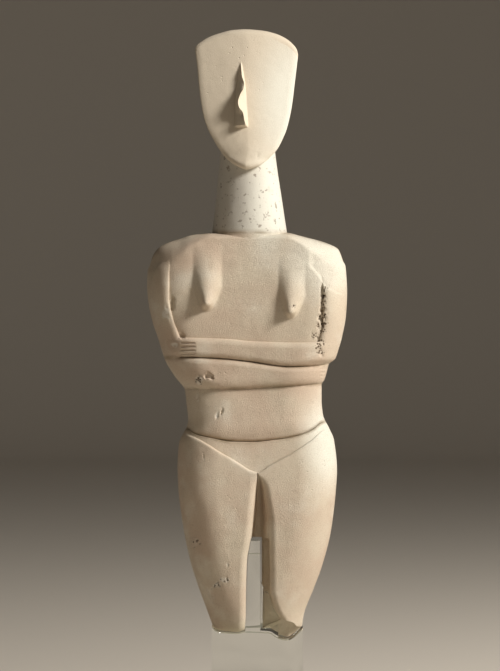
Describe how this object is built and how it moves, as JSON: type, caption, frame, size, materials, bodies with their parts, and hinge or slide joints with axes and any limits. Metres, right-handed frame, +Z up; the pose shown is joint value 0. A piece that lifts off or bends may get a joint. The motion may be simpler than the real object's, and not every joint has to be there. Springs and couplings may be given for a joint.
{
  "type": "cycladic figurine",
  "caption": "Standing folded-arm female figurine of carved white marble, broken off at the knees, held upright by a clear acrylic mount with a low foot.",
  "frame": {"origin": "centre of the foot plate's underside, where the mount stands on a table or shelf", "axes": "+Z up along the figurine's height, -Y the way the figurine faces, +X to the viewer's right from the front"},
  "size_m": [0.156, 0.11, 0.4782],
  "materials": {
    "marble": "matte",
    "clear_acrylic": "polished"
  },
  "bodies": {
    "root": {"figurine": "marble", "mount_block": "clear_acrylic", "mount_foot": "clear_acrylic"}
  },
  "joints": []
}
